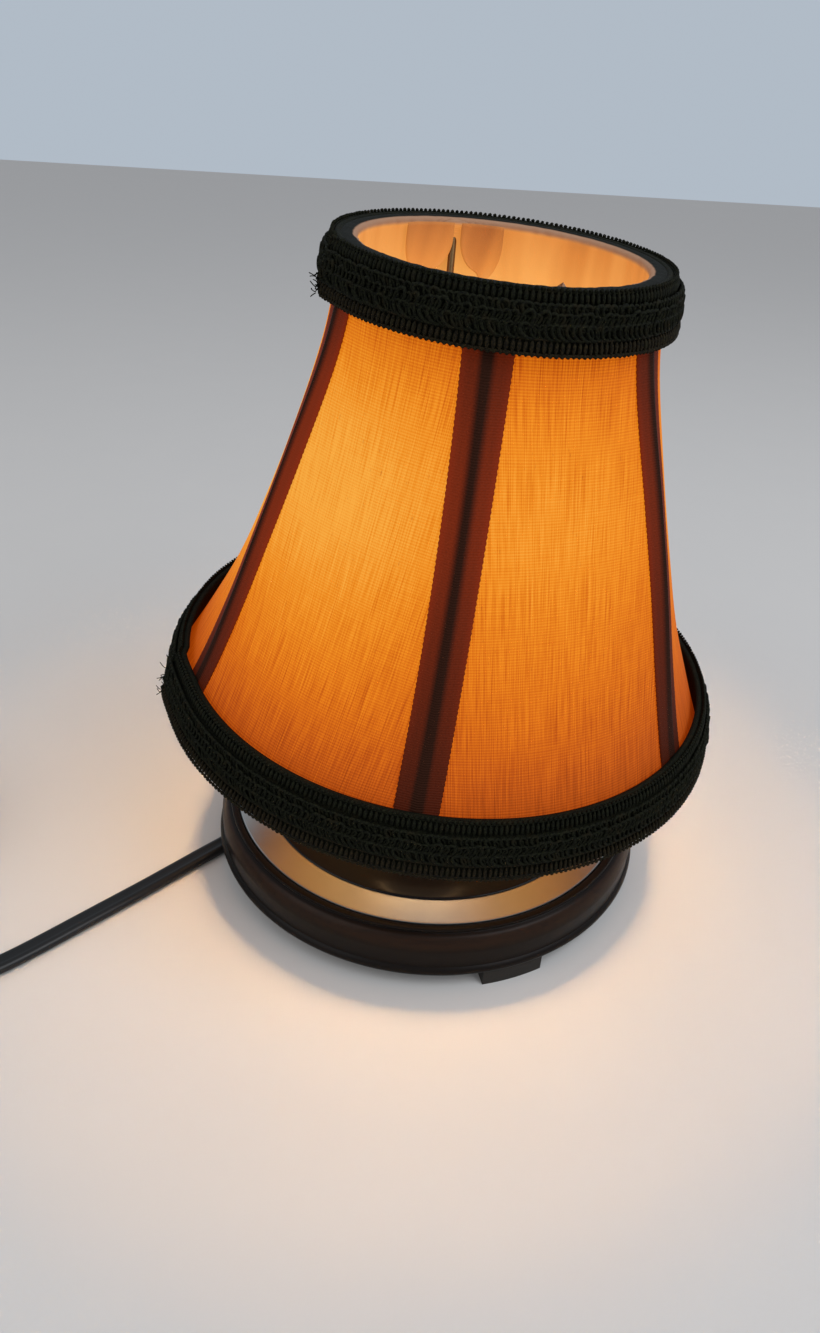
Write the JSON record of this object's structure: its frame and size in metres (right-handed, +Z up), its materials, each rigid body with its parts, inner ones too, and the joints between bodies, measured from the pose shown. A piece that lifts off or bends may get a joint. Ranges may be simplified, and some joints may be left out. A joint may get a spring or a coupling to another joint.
{
  "type": "table lamp",
  "caption": "Small candle-style table lamp: turned dark base with a metal plate, candle sleeve, screw-in torpedo bulb and a leaning clip-on cloth bell shade, with switched cord and plug.",
  "frame": {"origin": "on the lamp's own axis, on the surface that its feet stand on", "axes": "+Z up along the lamp's axis; -Y towards the front; the cord leaves towards -X and -Y"},
  "size_m": [0.3013, 0.1726, 0.1744],
  "materials": {
    "stained_wood": "satin dark stain",
    "foot_rubber": "matt",
    "steel_zinc": "zinc plated",
    "satin_nickel": "satin nickel plate",
    "black_gloss": "gloss black enamel",
    "black_board": "matt",
    "black_rubber": "smooth, slightly glossy",
    "bronze_paint": "satin bronze",
    "ivory_sleeve": "satin",
    "phenolic": "moulded",
    "brass": "bright",
    "lead_insulation": "smooth",
    "bulb_tip": "glass insulator with a solder tip",
    "frosted_glass": "frosted",
    "glowing_filament": "glowing wire on a glass stem",
    "frame_wire": "painted wire",
    "clip_wire": "dull spring wire",
    "shade_cloth": "slub weave",
    "lining_cloth": "plain weave",
    "ribbon": "ribbed ribbon",
    "braid": "looped gimp braid",
    "black_plastic": "smooth",
    "tie": "smooth band"
  },
  "bodies": {
    "lamp": {"base_body": "stained_wood", "base_screws": "steel_zinc", "black_disc": "black_gloss", "bottom_plate": "black_board", "candle_cup": "bronze_paint", "candle_sleeve": "ivory_sleeve", "coil_tie": "tie", "cord_coil": "black_rubber", "cord_grommet": "black_rubber", "cord_leads": "lead_insulation", "cord_link": "black_rubber", "cord_run": "black_rubber", "cord_tail": "black_rubber", "foot_1": "foot_rubber", "foot_2": "foot_rubber", "foot_3": "foot_rubber", "nickel_plate": "satin_nickel", "nipple_nuts": "steel_zinc", "plug_blades": "brass", "plug_body": "black_plastic", "socket_body": "phenolic", "socket_bracket": "steel_zinc", "socket_contact": "brass", "socket_shell": "brass", "switch_lower": "black_plastic", "switch_screws": "steel_zinc", "switch_upper": "black_plastic", "terminal_screws": "brass", "threaded_nipple": "steel_zinc"},
    "switch_wheel": {"switch_wheel": "black_plastic"},
    "bulb_contact": {"bulb_contact": "bulb_tip"},
    "bulb": {"bulb_cap": "brass", "bulb_glass": "frosted_glass", "bulb_filament": "glowing_filament"},
    "shade": {"ribbon_1": "ribbon", "ribbon_2": "ribbon", "ribbon_3": "ribbon", "ribbon_4": "ribbon", "ribbon_5": "ribbon", "ribbon_6": "ribbon", "shade_bottom_ring": "frame_wire", "shade_lining": "lining_cloth", "shade_panel_1": "shade_cloth", "shade_panel_2": "shade_cloth", "shade_panel_3": "shade_cloth", "shade_panel_4": "shade_cloth", "shade_panel_5": "shade_cloth", "shade_panel_6": "shade_cloth", "shade_rib_1": "frame_wire", "shade_rib_2": "frame_wire", "shade_rib_3": "frame_wire", "shade_rib_4": "frame_wire", "shade_rib_5": "frame_wire", "shade_rib_6": "frame_wire", "shade_top_ring": "frame_wire", "top_trim": "braid", "bottom_trim": "braid", "bulb_clip": "clip_wire"}
  },
  "joints": [
    {"name": "bulb_rise", "type": "slide", "parent": "lamp", "child": "bulb_contact", "axis": [0, 0, 1], "range_m": [0, 0.0115]},
    {"name": "bulb_turn", "type": "hinge", "parent": "bulb_contact", "child": "bulb", "pos_m": [0, 0, 0.057], "axis": [0, 0, 1], "range_deg": [0, 1620]},
    {"name": "shade_lift", "type": "slide", "parent": "bulb", "child": "shade", "axis": [0, 0, 1], "range_m": [0, 0.1]},
    {"name": "switch_wheel_turn", "type": "hinge", "parent": "lamp", "child": "switch_wheel", "pos_m": [-0.159, -0.072, 0.0052], "axis": [0, 0, 1], "continuous": true}
  ],
  "couplings": [
    {"joint": "bulb_rise", "follows": "bulb_turn", "m_per_rad": 0.000404}
  ]
}
